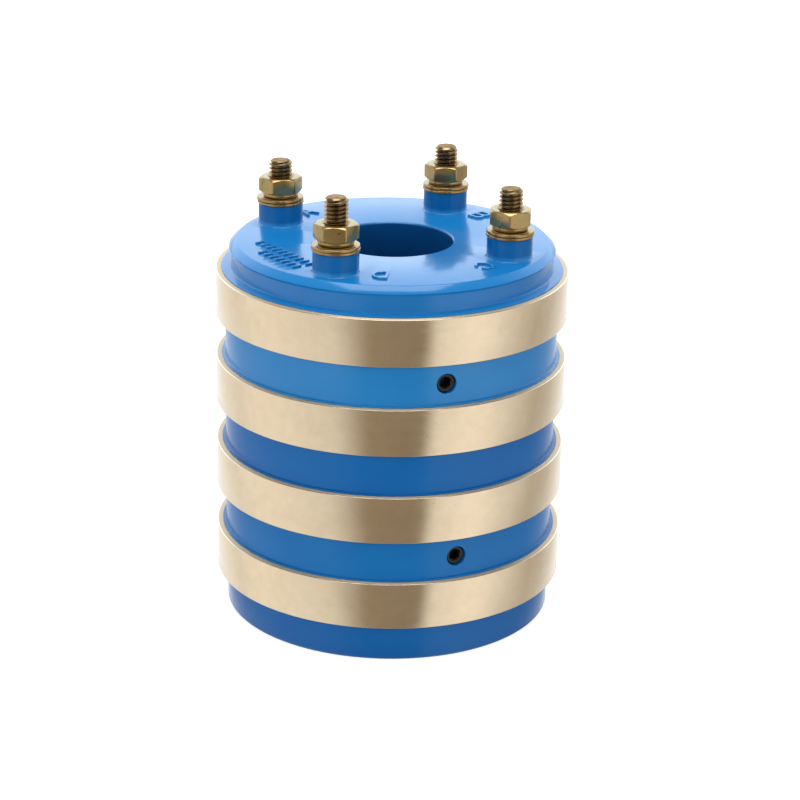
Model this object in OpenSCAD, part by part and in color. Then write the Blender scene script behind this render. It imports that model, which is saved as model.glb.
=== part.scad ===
// Moulded slip ring rotor: four collector rings set in an insulating body that
// grips a shaft, each ring wired to a terminal stud on the top face.
// Origin: centre of the lower end face, with +Z along the shaft bore.

/* [Collector rings] */
// Outer diameter of the collector rings
ring_d = 88; // [78:0.5:104]
// Height of each ring along the shaft
ring_h = 11.7; // [9:0.1:16]
// Gap between neighbouring rings
groove_w = 10.8; // [7:0.1:16]
// Radial thickness of a ring
ring_wall = 5.5; // [4.5:0.1:7]
// Chamfer on the outer edges of a ring
ring_edge = 0.4; // [0.1:0.1:0.8]
// Height of the anchor groove inside a ring
anchor_h = 3.6; // [1.5:0.1:5]
// Depth of the anchor groove inside a ring
anchor_depth = 1.4; // [0.5:0.1:2]

/* [Insulating body] */
// Height of the foot below the lowest ring
foot_h = 9.7; // [5:0.1:20]
// Height of the head above the top ring
head_h = 6.9; // [5:0.1:16]
// How far the rings stand proud of the grooves
ring_proud = 2.3; // [1.6:0.1:3]
// Width of the ledge on top of each ring
ledge_w = 0.9; // [0.2:0.1:1]
// Height of the ledge on top of each ring
ledge_h = 0.4; // [0.2:0.1:1.5]
// How far the foot stays inside the grooves' surface
foot_inset = 0.3; // [0:0.1:2]
// Chamfer round the lower end face
foot_chamfer = 0.6; // [0.2:0.1:2]
// How far the neck stays inside the grooves' surface
neck_inset = 1.6; // [0.4:0.1:2.4]
// Overhang of the rim above the neck
rim_lip = 0.6; // [0.2:0.1:1]
// Width of the chamfer round the terminal face
face_chamfer_w = 1.8; // [0.5:0.1:2]
// Height of the chamfer round the terminal face
face_chamfer_h = 1.6; // [0.5:0.1:2.5]

/* [Shaft bore] */
// Diameter of the shaft bore
bore_d = 30; // [16:0.5:34]
// Chamfer at both ends of the bore
bore_chamfer = 0.4; // [0.2:0.1:1]
// Width of the keyway
keyway_w = 8; // [4:0.5:10]
// Depth of the keyway beyond the bore's wall
keyway_depth = 4; // [1:0.1:5]
// Direction of the keyway round the bore
keyway_angle = 180; // [150:1:210]

/* [Terminals] */
// Direction of terminal C round the bore
terminal_angle = -25; // [-45:1:-10]
// Diameter of the terminal studs over their threads
stud_d = 5.8; // [4.8:0.1:7]
// How far inside its crests a thread meets its nut
thread_step = 0.25; // [0.1:0.05:0.4]
// Insulation between a stud and the inside of the rings
stud_insulation = 4.1; // [2.5:0.1:5]
// Chamfer at the top of a stud
stud_chamfer = 0.6; // [0.2:0.1:1]
// Length of stud A above its nut
stud_out_a = 4.1; // [2:0.1:12]
// Length of stud B above its nut
stud_out_b = 4.6; // [2:0.1:12]
// Length of stud C above its nut
stud_out_c = 5.0; // [2:0.1:12]
// Length of stud D above its nut
stud_out_d = 6.3; // [2:0.1:12]
// Diameter of the moulded posts round the studs
post_d = 11.2; // [9.5:0.1:12]
// Height of the moulded posts
post_h = 5.5; // [3:0.1:12]
// Rounding at the top of a post
post_round = 0.4; // [0.1:0.1:0.8]
// Thickness of the lug that joins a ring to its stud
lug_t = 7; // [5:0.1:8]
// Width of the lug that joins a ring to its stud
lug_w = 10; // [8.5:0.1:12]

/* [Terminal hardware] */
// Width of a nut across its flats
nut_af = 9.8; // [9:0.1:11]
// Height of a nut
nut_h = 4; // [3:0.1:6]
// How far a nut's round end faces stay inside its flats
nut_face_inset = 0.15; // [0.05:0.05:0.5]
// Rise of the corner chamfer on a nut
nut_chamfer_h = 0.6; // [0.2:0.1:0.9]
// Outer diameter of a spring washer
spring_d = 8.8; // [8.4:0.1:10]
// Thickness of a spring washer
spring_t = 1.1; // [0.8:0.1:2]
// Width of the split in a spring washer
split_w = 0.6; // [0.3:0.1:1.5]
// Slant of the split from upright
split_slant = 25; // [0:1:40]
// Outer diameter of a flat washer
washer_d = 11.8; // [11:0.1:12.6]
// Thickness of a flat washer
washer_t = 0.8; // [0.5:0.1:1.6]
// Edge chamfer on a flat washer
washer_edge = 0.15; // [0.05:0.05:0.2]
// Clearance between a washer's hole and the stud
washer_clearance = 0.3; // [0.1:0.05:0.5]

/* [Set screws] */
// Diameter of the set screws
screw_d = 5; // [4:0.5:6]
// How far a set screw lies below the groove
screw_recess = 0.8; // [0.3:0.1:2]
// Gap between a set screw's tip and the bore's wall
tip_gap = 0.4; // [0.2:0.1:2]
// Width of the hexagon socket across its flats
socket_af = 2.5; // [2:0.1:3]
// Depth of the hexagon socket
socket_depth = 3; // [1.5:0.1:5]
// Chamfer at both ends of a set screw
screw_chamfer = 0.4; // [0.1:0.1:0.6]
// Direction of the upper set screw round the bore
upper_screw_angle = -71; // [-80:1:-60]
// Direction of the lower set screw round the bore
lower_screw_angle = -66; // [-80:1:-60]

/* [Raised marks] */
// Height of a terminal letter on the face
letter_h = 5.4; // [4.4:0.1:6]
// Width of a terminal letter
letter_w = 4; // [3.2:0.1:4.2]
// Width of a letter's strokes
stroke_w = 0.7; // [0.4:0.05:1]
// How far the marks stand above the face
relief = 0.5; // [0.2:0.05:1]
// Number of plain tally bars in the inner row
inner_marks = 10; // [3:1:10]
// Number of plain tally bars in the outer row
outer_marks = 7; // [3:1:7]
// Spacing of the tally bars in a row
mark_pitch = 2.4; // [1.6:0.1:2.6]
// Length of a tally bar
mark_l = 2.6; // [1:0.1:3.5]
// Gap between the two rows
mark_gap = 1.4; // [0.6:0.1:2]

/* [Hidden] */
$fn = 96;
cut = 1;            // how far a cutting tool runs past a face

// Rings are counted from the top, 0 to 3, and so are terminals A to D.
ring_count = 4;
first = 0;
second = 1;
third = 2;
last = ring_count - 1;

ring_r = ring_d / 2;
ring_bore_r = ring_r - ring_wall;
anchor_r = ring_bore_r + anchor_depth;
groove_r = ring_r - ring_proud;
ledge_r = groove_r + ledge_w;
foot_r = groove_r - foot_inset;
neck_r = groove_r - neck_inset;
rim_r = neck_r + rim_lip;
face_r = rim_r - face_chamfer_w;
bore_r = bore_d / 2;
ring_pitch = ring_h + groove_w;
body_h = foot_h + ring_count * ring_h + (ring_count - 1) * groove_w + head_h;

stud_r = stud_d / 2;
shank_r = stud_r - thread_step;
terminal_r = ring_bore_r - stud_insulation - stud_r;
terminal_step = 360 / ring_count;
lug_reach = anchor_r - terminal_r;
washer_bore_d = stud_d + 2 * washer_clearance;
lower_washer_z = body_h + post_h;
upper_washer_z = lower_washer_z + washer_t;
spring_z = upper_washer_z + washer_t;
nut_z = spring_z + spring_t;
nut_top_z = nut_z + nut_h;
stud_out = [stud_out_a, stud_out_b, stud_out_c, stud_out_d];
nut_turn = [12, -2, 26, -3];        // each nut stops at its own angle
split_turn = [-55, 15, 120, -135];  // and so does each spring washer's split
slid = [0.4, 0.7, 0.5, 0.8];        // share of its clearance by which each upper washer slid

// A letter stands beside its terminal, at this angle and distance from it.
letter_turn = [-20, -20, -20, 20];
letter_r = terminal_r;
// The mark rows face this way, and end at this distance from their middle line.
mark_angle = -143;
mark_end = 7;
mark_margin = 4;                    // from the outer row to the edge of the face
outer_row = face_r - mark_margin - mark_l;
inner_row = outer_row - mark_gap - mark_l;

// Bottom of a ring, and the middle of its height.
function ring_z(i) = foot_h + (ring_count - 1 - i) * ring_pitch;
function ring_mid(i) = ring_z(i) + ring_h / 2;
function lug_z(i) = ring_mid(i) - lug_t / 2;
function terminal_dir(i) = terminal_angle + (third - i) * terminal_step;

// Radius to the corners of a hexagon, from its width across flats.
function hex_corner(af) = af / 2 / cos(180 / 6);

// Outline of the body past one ring, from the ring's underside to the ledge
// on its top, where the next surface up has the radius next_r.
function ring_seat(i, next_r) = [
    [groove_r, ring_z(i)],
    [ring_bore_r, ring_z(i)],
    [ring_bore_r, ring_mid(i) - anchor_h / 2],
    [anchor_r, ring_mid(i) - anchor_h / 2],
    [anchor_r, ring_mid(i) + anchor_h / 2],
    [ring_bore_r, ring_mid(i) + anchor_h / 2],
    [ring_bore_r, ring_z(i) + ring_h],
    [ledge_r, ring_z(i) + ring_h],
    [ledge_r, ring_z(i) + ring_h + ledge_h],
    [next_r, ring_z(i) + ring_h + ledge_h]
];

// Places its children on the axis of terminal i.
module at_terminal(i) {
    rotate(terminal_dir(i)) translate([terminal_r, 0, 0]) children();
}

// Turned blank of the body, with a seat for each ring.
module body_blank() {
    seats = [for (i = [ring_count - 1 : -1 : 0])
        each ring_seat(i, i == 0 ? neck_r : groove_r)];
    rotate_extrude() polygon(concat(
        [[bore_r + bore_chamfer, 0], [foot_r - foot_chamfer, 0], [foot_r, foot_chamfer],
            [foot_r, foot_h]],
        seats,
        [[neck_r, body_h - face_chamfer_h - rim_lip], [rim_r, body_h - face_chamfer_h],
            [face_r, body_h], [bore_r + bore_chamfer, body_h],
            [bore_r, body_h - bore_chamfer], [bore_r, bore_chamfer]]));
}

// Moulded post that carries a terminal's washers clear of the face.
module post() {
    post_r = post_d / 2;
    translate([0, 0, body_h]) rotate_extrude() polygon([
        [0, -cut], [post_r, -cut], [post_r, post_h - post_round],
        [post_r - post_round, post_h], [0, post_h]]);
}

// Slot for the shaft key, cut the whole length of the bore.
module keyway() {
    rotate(keyway_angle) translate([0, -keyway_w / 2, -cut])
        cube([bore_r + keyway_depth, keyway_w, body_h + 2 * cut]);
}

// Lug that reaches inwards from ring i and takes the end of its stud.
module lug(i) {
    at_terminal(i) translate([0, 0, lug_z(i)]) {
        cylinder(d = lug_w, h = lug_t);
        translate([0, -lug_w / 2, 0]) cube([lug_reach, lug_w, lug_t]);
    }
}

// Long stud from the lug up through the body, post, washers and nut. It has its
// full diameter above the nut, and its shank's diameter from there down.
module stud_rod(i) {
    top = nut_top_z + stud_out[i];
    at_terminal(i) rotate_extrude() polygon([
        [0, lug_z(i)], [shank_r, lug_z(i)], [shank_r, nut_top_z], [stud_r, nut_top_z],
        [stud_r, top - stud_chamfer], [stud_r - stud_chamfer, top], [0, top]]);
}

// Places its children with +Z pointing outwards, in the middle of the groove
// under ring i.
module at_screw(i, angle) {
    rotate(angle) translate([0, 0, ring_z(i) - groove_w / 2]) rotate([0, 90, 0]) children();
}

// Threaded hole for a set screw, from the bore to the groove.
module screw_hole(i, angle) {
    at_screw(i, angle) cylinder(d = screw_d, h = ring_r);
}

// One straight stroke of a letter, from point p to point q.
module stroke(p, q) {
    run = q - p;
    translate([p[0], p[1], 0]) rotate(atan2(run[1], run[0]))
        translate([-stroke_w / 2, -stroke_w / 2, 0])
            cube([norm(run) + stroke_w, stroke_w, relief + cut]);
}

// Curved stroke: half of a ring of height h, from x = 0 to x = w.
module bow(w, h) {
    intersection() {
        difference() {
            union() {
                translate([w - h / 2, h / 2, 0]) cylinder(d = h, h = relief + cut);
                cube([w - h / 2, h, relief + cut]);
            }
            translate([w - h / 2, h / 2, -cut])
                cylinder(d = h - 2 * stroke_w, h = relief + 3 * cut);
            translate([-cut, stroke_w, -cut])
                cube([w - h / 2 + cut, h - 2 * stroke_w, relief + 3 * cut]);
        }
        cube([w, h, relief + cut]);
    }
}

// Upright slab with round ends, of width w and height h.
module slab(w, h, t) {
    translate([0, w / 2, 0]) cube([w, h - w, t]);
    for (y = [w / 2, h - w / 2]) translate([w / 2, y, 0]) cylinder(d = w, h = t);
}

// Letters start at the lower left corner of their box.
module letter_a() {
    edge = stroke_w / 2;
    apex = [letter_w / 2, letter_h - edge];
    stroke([edge, edge], apex);
    stroke([letter_w - edge, edge], apex);
    stroke([letter_w / 4, letter_h / 3], [letter_w * 3 / 4, letter_h / 3]);
}

module letter_b() {
    half = (letter_h + stroke_w) / 2;
    cube([stroke_w, letter_h, relief + cut]);
    bow(letter_w, half);
    translate([0, half - stroke_w, 0]) bow(letter_w, half);
}

module letter_c() {
    mouth = letter_h / 3;
    difference() {
        slab(letter_w, letter_h, relief + cut);
        translate([stroke_w, stroke_w, -cut])
            slab(letter_w - 2 * stroke_w, letter_h - 2 * stroke_w, relief + 3 * cut);
        translate([letter_w / 2, (letter_h - mouth) / 2, -cut])
            cube([letter_w, mouth, relief + 3 * cut]);
    }
}

module letter_d() {
    cube([stroke_w, letter_h, relief + cut]);
    bow(letter_w, letter_h);
}

// Places a letter beside terminal i, its top pointing outwards.
module at_letter(i) {
    rotate(terminal_dir(i) + letter_turn[i]) translate([letter_r, 0, body_h - cut])
        rotate(-90) translate([-letter_w / 2, -letter_h / 2, 0]) children();
}

// Straight row of plain tally bars, at distance row from the axis.
module mark_row(row, count) {
    rotate(mark_angle) for (k = [0 : count - 1])
        translate([row, mark_end - k * mark_pitch - stroke_w, body_h - cut])
            cube([mark_l, stroke_w, relief + cut]);
}

module insulating_body() {
    color([0.16, 0.43, 0.68]) {
        difference() {
            union() {
                body_blank();
                for (i = [first : last]) at_terminal(i) post();
                at_letter(first) letter_a();
                at_letter(second) letter_b();
                at_letter(third) letter_c();
                at_letter(last) letter_d();
                mark_row(inner_row, inner_marks);
                mark_row(outer_row, outer_marks);
            }
            keyway();
            for (i = [first : last]) {
                lug(i);
                stud_rod(i);
            }
            screw_hole(first, upper_screw_angle);
            screw_hole(third, lower_screw_angle);
        }
    }
}

// Collector ring i, with the anchor groove that the moulding fills and a lug
// bored for its stud.
module collector_ring(i) {
    color([0.87, 0.77, 0.60]) difference() {
        union() {
            translate([0, 0, ring_z(i)]) rotate_extrude() polygon([
                [ring_bore_r, 0], [ring_r - ring_edge, 0], [ring_r, ring_edge],
                [ring_r, ring_h - ring_edge], [ring_r - ring_edge, ring_h], [ring_bore_r, ring_h],
                [ring_bore_r, (ring_h + anchor_h) / 2], [anchor_r, (ring_h + anchor_h) / 2],
                [anchor_r, (ring_h - anchor_h) / 2], [ring_bore_r, (ring_h - anchor_h) / 2]]);
            lug(i);
        }
        at_terminal(i) translate([0, 0, lug_z(i) - cut])
            cylinder(r = shank_r, h = lug_t + 2 * cut);
    }
}

module terminal_stud(i) {
    color([0.42, 0.36, 0.24]) stud_rod(i);
}

// Flat washer with lightly broken edges, seated at height z and slid outwards
// by a share of its clearance.
module flat_washer(i, z, share) {
    hole_r = washer_bore_d / 2;
    outer_r = washer_d / 2;
    color([0.78, 0.68, 0.48]) at_terminal(i) translate([share * washer_clearance, 0, z])
        rotate_extrude() polygon([
        [hole_r, 0], [outer_r - washer_edge, 0], [outer_r, washer_edge],
        [outer_r, washer_t - washer_edge], [outer_r - washer_edge, washer_t], [hole_r, washer_t]]);
}

// Split spring washer, pressed flat by its nut.
module spring_washer(i) {
    color([0.72, 0.64, 0.46]) at_terminal(i) translate([0, 0, spring_z]) difference() {
        cylinder(d = spring_d, h = spring_t);
        translate([0, 0, -cut]) cylinder(d = washer_bore_d, h = spring_t + 2 * cut);
        rotate(split_turn[i]) translate([0, 0, spring_t / 2]) rotate([split_slant, 0, 0])
            translate([0, -split_w / 2, -spring_t * 2]) cube([spring_d, split_w, spring_t * 4]);
    }
}

// Hexagon nut, its corners chamfered on both faces by a pair of cones that run
// on past the corners.
module hex_nut(i) {
    corner_r = hex_corner(nut_af);
    end_r = nut_af / 2 - nut_face_inset;
    past_r = corner_r + nut_face_inset;
    past_h = nut_chamfer_h * (past_r - end_r) / (corner_r - end_r);
    color([0.74, 0.66, 0.44]) at_terminal(i) translate([0, 0, nut_z]) difference() {
        intersection() {
            rotate(nut_turn[i] - terminal_dir(i)) cylinder(r = corner_r, h = nut_h, $fn = 6);
            rotate_extrude() polygon([
                [0, 0], [end_r, 0], [past_r, past_h],
                [past_r, nut_h - past_h], [end_r, nut_h], [0, nut_h]]);
        }
        translate([0, 0, -cut]) cylinder(r = shank_r, h = nut_h + 2 * cut);
    }
}

// Set screw with a hexagon socket, in the groove under ring i.
module set_screw(i, angle) {
    screw_r = screw_d / 2;
    tip = bore_r + tip_gap;
    head = groove_r - screw_recess;
    color([0.06, 0.06, 0.07]) at_screw(i, angle) difference() {
        rotate_extrude() polygon([
            [0, tip], [screw_r - screw_chamfer, tip], [screw_r, tip + screw_chamfer],
            [screw_r, head - screw_chamfer], [screw_r - screw_chamfer, head], [0, head]]);
        translate([0, 0, head - socket_depth])
            cylinder(r = hex_corner(socket_af), h = socket_depth + cut, $fn = 6);
    }
}

insulating_body();
collector_ring(first);  // collector_ring_1
collector_ring(second);  // collector_ring_2
collector_ring(third);  // collector_ring_3
collector_ring(last);  // collector_ring_4
terminal_stud(first);  // terminal_stud_a
terminal_stud(second);  // terminal_stud_b
terminal_stud(third);  // terminal_stud_c
terminal_stud(last);  // terminal_stud_d
flat_washer(first, lower_washer_z, 0);  // lower_washer_a
flat_washer(second, lower_washer_z, 0);  // lower_washer_b
flat_washer(third, lower_washer_z, 0);  // lower_washer_c
flat_washer(last, lower_washer_z, 0);  // lower_washer_d
flat_washer(first, upper_washer_z, slid[first]);  // upper_washer_a
flat_washer(second, upper_washer_z, slid[second]);  // upper_washer_b
flat_washer(third, upper_washer_z, slid[third]);  // upper_washer_c
flat_washer(last, upper_washer_z, slid[last]);  // upper_washer_d
spring_washer(first);  // spring_washer_a
spring_washer(second);  // spring_washer_b
spring_washer(third);  // spring_washer_c
spring_washer(last);  // spring_washer_d
hex_nut(first);  // hex_nut_a
hex_nut(second);  // hex_nut_b
hex_nut(third);  // hex_nut_c
hex_nut(last);  // hex_nut_d
set_screw(first, upper_screw_angle);  // upper_set_screw
set_screw(third, lower_screw_angle);  // lower_set_screw
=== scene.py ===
"""Slip ring rotor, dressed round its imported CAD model.

Each sub-assembly is a class that holds its sizes in millimetres and makes its own
pieces: the moulded body, the collector rings, the terminal hardware and the set
screws. Each finish is a small class that makes one material, and the studio class
makes the floor, the light and the camera.
"""

from __future__ import annotations

import logging
import math
from collections.abc import Callable, Iterable, Sequence
from dataclasses import dataclass
from enum import Enum
from typing import Any

import bmesh
import bpy
from mathutils import Matrix, Vector

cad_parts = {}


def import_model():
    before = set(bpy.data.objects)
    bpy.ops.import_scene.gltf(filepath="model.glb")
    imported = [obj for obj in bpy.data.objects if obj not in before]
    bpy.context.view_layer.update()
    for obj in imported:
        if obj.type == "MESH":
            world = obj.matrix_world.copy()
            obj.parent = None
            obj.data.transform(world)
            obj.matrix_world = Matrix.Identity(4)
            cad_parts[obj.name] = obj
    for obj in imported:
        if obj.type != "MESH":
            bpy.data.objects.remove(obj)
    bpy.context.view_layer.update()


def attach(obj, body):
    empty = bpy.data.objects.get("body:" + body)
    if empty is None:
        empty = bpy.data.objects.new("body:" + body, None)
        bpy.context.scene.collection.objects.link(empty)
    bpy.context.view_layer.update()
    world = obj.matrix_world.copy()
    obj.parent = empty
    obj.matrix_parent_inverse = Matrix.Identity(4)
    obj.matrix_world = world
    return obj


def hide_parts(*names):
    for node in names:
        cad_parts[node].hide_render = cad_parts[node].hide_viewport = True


LOG = logging.getLogger("slip_ring")
MM = 0.001
BODY = "root"
MERGE = 1e-4  # millimetres within which two vertices are one
CRISP = 32.0  # degrees between two faces above which their edge stays crisp
SCREWS = (("upper", 0, -71.0), ("lower", 2, -66.0))  # name, groove, direction

Colour = tuple[float, float, float]
Point = tuple[float, float, float]
Span = tuple[float, float]
Outline = Sequence[tuple[float, float]]
Material = bpy.types.Material


# ---- Shapes ----


class Shape:
    """A mesh in the making, in millimetres."""

    def __init__(self) -> None:
        """Starts with nothing in it."""
        self.bm = bmesh.new()

    @classmethod
    def turned(cls, outline: Outline, steps: int, sweep: float = 360.0) -> Shape:
        """Turns an outline round the Z axis.

        Args:
            outline: Points of radius and height. It is closed by itself, or along
                the axis where its ends lie on it.
            steps: Number of facets round the whole sweep.
            sweep: Angle turned through, in degrees.
        """
        shape = cls()
        bm = shape.bm
        verts = [bm.verts.new((r, 0.0, z)) for r, z in outline]
        edges = [bm.edges.new(pair) for pair in zip(verts, verts[1:])]
        hollow = outline[0][0] > 0
        if hollow:
            edges.append(bm.edges.new((verts[-1], verts[0])))
        full = sweep >= 360
        if not full:
            section = bm.faces.new(verts)
            edges = list(section.edges)
        bmesh.ops.spin(
            bm,
            geom=verts + edges + ([] if full else [section]),
            cent=(0, 0, 0),
            axis=(0, 0, 1),
            angle=math.radians(sweep),
            steps=steps,
            use_merge=full,
        )
        bmesh.ops.remove_doubles(bm, verts=bm.verts[:], dist=MERGE / 10)
        return shape.facing_out()

    @classmethod
    def prism(cls, sides: int, radius: float, low: float, high: float) -> Shape:
        """Makes an upright prism with a regular section and its first corner on +X."""
        shape = cls()
        bm = shape.bm
        place = Matrix.Translation((0, 0, low)) @ about_z(-90)
        bmesh.ops.create_circle(
            bm, cap_ends=True, radius=radius, segments=sides, matrix=place
        )
        grown = bmesh.ops.extrude_face_region(bm, geom=bm.faces[:])["geom"]
        top = [g for g in grown if isinstance(g, bmesh.types.BMVert)]
        bmesh.ops.translate(bm, verts=top, vec=(0, 0, high - low))
        return shape.facing_out()

    @classmethod
    def block(cls, low: Sequence[float], high: Sequence[float]) -> Shape:
        """Makes a rectangular block between two corners."""
        shape = cls()
        size = [b - a for a, b in zip(low, high)]
        middle = [(a + b) / 2 for a, b in zip(low, high)]
        made = bmesh.ops.create_cube(shape.bm, size=1.0)["verts"]
        bmesh.ops.scale(shape.bm, verts=made, vec=size)
        bmesh.ops.translate(shape.bm, verts=made, vec=middle)
        return shape

    def facing_out(self) -> Shape:
        """Turns every face outwards."""
        bmesh.ops.recalc_face_normals(self.bm, faces=self.bm.faces[:])
        return self

    def soften(
        self,
        width: float,
        segments: int,
        sharp: float,
        where: Callable[[Vector], bool],
    ) -> Shape:
        """Rounds sharp edges.

        Args:
            width: Width of the rounding.
            segments: Facets across it.
            sharp: Least angle between two faces, in degrees, that counts as sharp.
            where: Test on the middle of an edge that chooses the edges.
        """
        limit = math.radians(sharp)
        edges = []
        for edge in self.bm.edges:
            if len(edge.link_faces) != 2 or edge.calc_face_angle() < limit:
                continue
            middle = (edge.verts[0].co + edge.verts[1].co) / 2
            if where(middle):
                edges.append(edge)
        bmesh.ops.bevel(
            self.bm,
            geom=edges,
            offset=width,
            segments=segments,
            profile=0.5,
            affect="EDGES",
            material=-1,
            clamp_overlap=True,
        )
        return self

    def moved(self, matrix: Matrix) -> Shape:
        """Places the shape with a matrix."""
        bmesh.ops.transform(self.bm, matrix=matrix, verts=self.bm.verts[:])
        return self

    def bent(self, move: Callable[[Vector], Vector]) -> Shape:
        """Gives every vertex the place that a rule works out from its old one."""
        for vert in self.bm.verts:
            vert.co = move(vert.co)
        return self

    def combined(self, others: Iterable[Shape], how: Combine) -> Shape:
        """Unites the shape with others, cuts them out of it, or keeps what they share.

        Args:
            others: The other shapes, which are used up.
            how: What to do with them.
        """
        group = bpy.data.collections.new("tools")
        bpy.context.scene.collection.children.link(group)
        tools = [other.to_object("tool", group) for other in others]
        blank = self.to_object("blank")
        modifier = blank.modifiers.new("combine", "BOOLEAN")
        modifier.operation = how.value
        modifier.solver = "EXACT"
        modifier.operand_type = "COLLECTION"
        modifier.collection = group
        bpy.context.view_layer.update()
        graph = bpy.context.evaluated_depsgraph_get()
        mesh = bpy.data.meshes.new_from_object(blank.evaluated_get(graph))
        self.bm = bmesh.new()
        self.bm.from_mesh(mesh)
        for item in [blank, *tools]:
            bpy.data.meshes.remove(item.data)
        bpy.data.collections.remove(group)
        bpy.data.meshes.remove(mesh)
        bmesh.ops.remove_doubles(self.bm, verts=self.bm.verts[:], dist=MERGE)
        bmesh.ops.dissolve_degenerate(self.bm, dist=MERGE, edges=self.bm.edges[:])
        return self

    def to_object(
        self, name: str, group: bpy.types.Collection | None = None
    ) -> bpy.types.Object:
        """Ends the shape as an object in the scene or in a collection."""
        mesh = bpy.data.meshes.new(name)
        self.bm.to_mesh(mesh)
        self.bm.free()
        return add_object(name, mesh, group)

    def publish(self, name: str, finish: Material, slot: str, nodes: Sequence[str]) -> None:
        """Ends the shape as a piece of the object, in metres.

        Args:
            name: Name of the piece.
            finish: Its material.
            slot: The record's material slot meant for it; not used.
            nodes: CAD nodes that it stands for.
        """
        bmesh.ops.scale(self.bm, vec=(MM, MM, MM), verts=self.bm.verts[:])
        for face in self.bm.faces:
            face.smooth = True
        piece = self.to_object(name)
        piece.data.set_sharp_from_angle(angle=math.radians(CRISP))
        piece.data.materials.append(finish)
        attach(piece, BODY)
        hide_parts(*nodes)
        LOG.info("%s: %d faces, for %s", name, len(piece.data.polygons), ", ".join(nodes))


class Combine(Enum):
    """What a combination does with the other shapes."""

    UNITE = "UNION"
    CUT = "DIFFERENCE"
    SHARE = "INTERSECT"


def turn_about(axis: str, angle: float) -> Matrix:
    """Turn about an axis through the origin, in degrees."""
    return Matrix.Rotation(math.radians(angle), 4, axis)


def about_z(angle: float) -> Matrix:
    """Turn about the Z axis, in degrees."""
    return turn_about("Z", angle)


def shift(x: float, y: float, z: float) -> Matrix:
    """Move along the three axes."""
    return Matrix.Translation((x, y, z))


def hexagon_corner(across_flats: float) -> float:
    """Radius at the corners of a hexagon."""
    return across_flats / 2 / math.cos(math.radians(30))


def add_object(
    name: str, data: bpy.types.ID, group: bpy.types.Collection | None = None
) -> bpy.types.Object:
    """Puts new data into the scene, or into a collection, as an object."""
    item = bpy.data.objects.new(name, data)
    (group or bpy.context.scene.collection).objects.link(item)
    return item


# ---- Finishes ----


class Wiring:
    """Places shader nodes in one node tree and joins them."""

    def __init__(self, tree: bpy.types.NodeTree) -> None:
        """Takes the tree to work in, and empties it."""
        self.tree = tree
        tree.nodes.clear()

    def put(self, kind: str, values: dict[Any, Any] | None = None, **options: Any) -> Any:
        """Adds a node.

        Args:
            kind: Node type.
            values: For each input, by name or number, a value or another node's output.
            options: Attributes to set on the node first.
        """
        node = self.tree.nodes.new(kind)
        for key, value in options.items():
            setattr(node, key, value)
        for key, value in (values or {}).items():
            self.join(node.inputs[key], value)
        return node

    def join(self, socket: bpy.types.NodeSocket, value: Any) -> None:
        """Links an input to another node's output, or sets its value."""
        if isinstance(value, bpy.types.NodeSocket):
            self.tree.links.new(value, socket)
        else:
            socket.default_value = value

    def calc(self, operation: str, *values: Any) -> Any:
        """Adds a Math node and gives its output."""
        node = self.put("ShaderNodeMath", dict(enumerate(values)), operation=operation)
        return node.outputs[0]

    def plus(self, first: Any, second: Any) -> Any:
        """Adds two values."""
        return self.calc("ADD", first, second)

    def times(self, first: Any, second: Any) -> Any:
        """Multiplies two values."""
        return self.calc("MULTIPLY", first, second)

    def span(
        self, value: Any, low: Any, high: Any, to_low: float = 0.0, to_high: float = 1.0
    ) -> Any:
        """Maps a value from one span to another, held at its ends."""
        sockets = {0: value, 1: low, 2: high, 3: to_low, 4: to_high}
        return self.put("ShaderNodeMapRange", sockets).outputs[0]

    def ramp(self, value: Any, stops: Sequence[tuple[float, Sequence[float]]]) -> Any:
        """Adds a colour ramp with the given stops and gives its colour."""
        node = self.put("ShaderNodeValToRGB", {0: value})
        elements = node.color_ramp.elements
        while len(elements) < len(stops):
            elements.new(1.0)
        for element, (place, colour) in zip(elements, stops):
            element.position = place
            element.color = (*colour, 1.0)
        return node.outputs[0]

    def mix(self, share: Any, first: Any, second: Any, blend: str = "MIX") -> Any:
        """Mixes two colours and gives the result."""
        sockets = {0: share}
        for key, value in ((6, first), (7, second)):
            linked = isinstance(value, bpy.types.NodeSocket)
            sockets[key] = value if linked else (*value, 1.0)
        node = self.put("ShaderNodeMix", sockets, data_type="RGBA", blend_type=blend)
        return node.outputs[2]


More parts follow.
